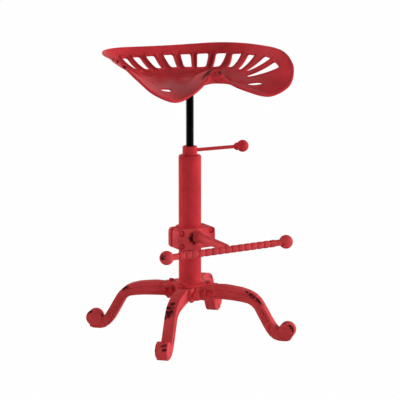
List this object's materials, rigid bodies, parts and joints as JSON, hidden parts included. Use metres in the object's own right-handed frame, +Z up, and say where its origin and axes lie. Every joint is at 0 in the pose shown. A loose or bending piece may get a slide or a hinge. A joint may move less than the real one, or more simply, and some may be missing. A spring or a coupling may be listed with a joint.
{
  "type": "tractor seat stool",
  "caption": "Height-adjustable stool: pierced dished metal seat on a lead screw in a pipe column, with ball lock lever, clamped footrest bar and cast scroll legs.",
  "frame": {"origin": "on the floor, on the axis of the column", "axes": "+Z up along the column; the four legs lie along +X, +Y, -X and -Y; the footrest points to the middle between +X and -Y"},
  "size_m": [0.487, 0.487, 0.6448],
  "materials": {
    "red_paint": "semi-gloss red paint on steel, worn through to dark metal on edges",
    "red_cast_iron": "semi-gloss red paint on cast iron, worn through to dark metal on edges",
    "black_steel": "black oxide steel, lightly oiled"
  },
  "bodies": {
    "base_column": {"column_tube": "red_paint", "column_cap": "red_paint", "base_plate": "red_paint", "base_hub": "red_cast_iron", "leg_right": "red_cast_iron", "leg_back": "red_cast_iron", "leg_left": "red_cast_iron", "leg_front": "red_cast_iron", "plate_bolt_right": "red_paint", "plate_bolt_back": "red_paint", "plate_bolt_left": "red_paint", "plate_bolt_front": "red_paint", "leg_bolt_right_inner": "red_paint", "leg_bolt_right_outer": "red_paint", "leg_bolt_back_inner": "red_paint", "leg_bolt_back_outer": "red_paint", "leg_bolt_left_inner": "red_paint", "leg_bolt_left_outer": "red_paint", "leg_bolt_front_inner": "red_paint", "leg_bolt_front_outer": "red_paint"},
    "screw_guide": {"screw_guide": "black_steel"},
    "seat": {"seat_pan": "red_paint", "seat_boss": "red_paint", "seat_pin": "red_paint", "seat_screw": "black_steel", "screw_end_nut": "black_steel"},
    "lock_nut": {"lock_nut": "red_paint", "lever_rod": "red_paint", "lever_ball": "red_paint"},
    "footrest": {"clamp_front": "red_cast_iron", "clamp_rear": "red_cast_iron", "clamp_bolt_left_low": "red_paint", "clamp_bolt_left_high": "red_paint", "clamp_bolt_right_low": "red_paint", "clamp_bolt_right_high": "red_paint", "footrest_arm": "red_cast_iron", "footrest_bar": "red_cast_iron", "footrest_ball_left": "red_cast_iron", "footrest_ball_right": "red_cast_iron"}
  },
  "joints": [
    {"name": "seat_lift", "type": "slide", "parent": "base_column", "child": "screw_guide", "axis": [0, 0, 1], "range_m": [-0.1125, 0.0405]},
    {"name": "seat_turn", "type": "hinge", "parent": "screw_guide", "child": "seat", "pos_m": [0, 0, 0.5], "axis": [0, 0, 1], "range_deg": [-10080, 3600]},
    {"name": "lock_lever_turn", "type": "hinge", "parent": "base_column", "child": "lock_nut", "pos_m": [0, 0, 0.421], "axis": [0, 0, 1], "range_deg": [0, 270]},
    {"name": "footrest_height", "type": "slide", "parent": "base_column", "child": "footrest", "axis": [0, 0, 1], "range_m": [-0.07, 0.13]}
  ],
  "couplings": [
    {"joint": "seat_lift", "follows": "seat_turn", "m_per_rad": 0.00063662}
  ]
}
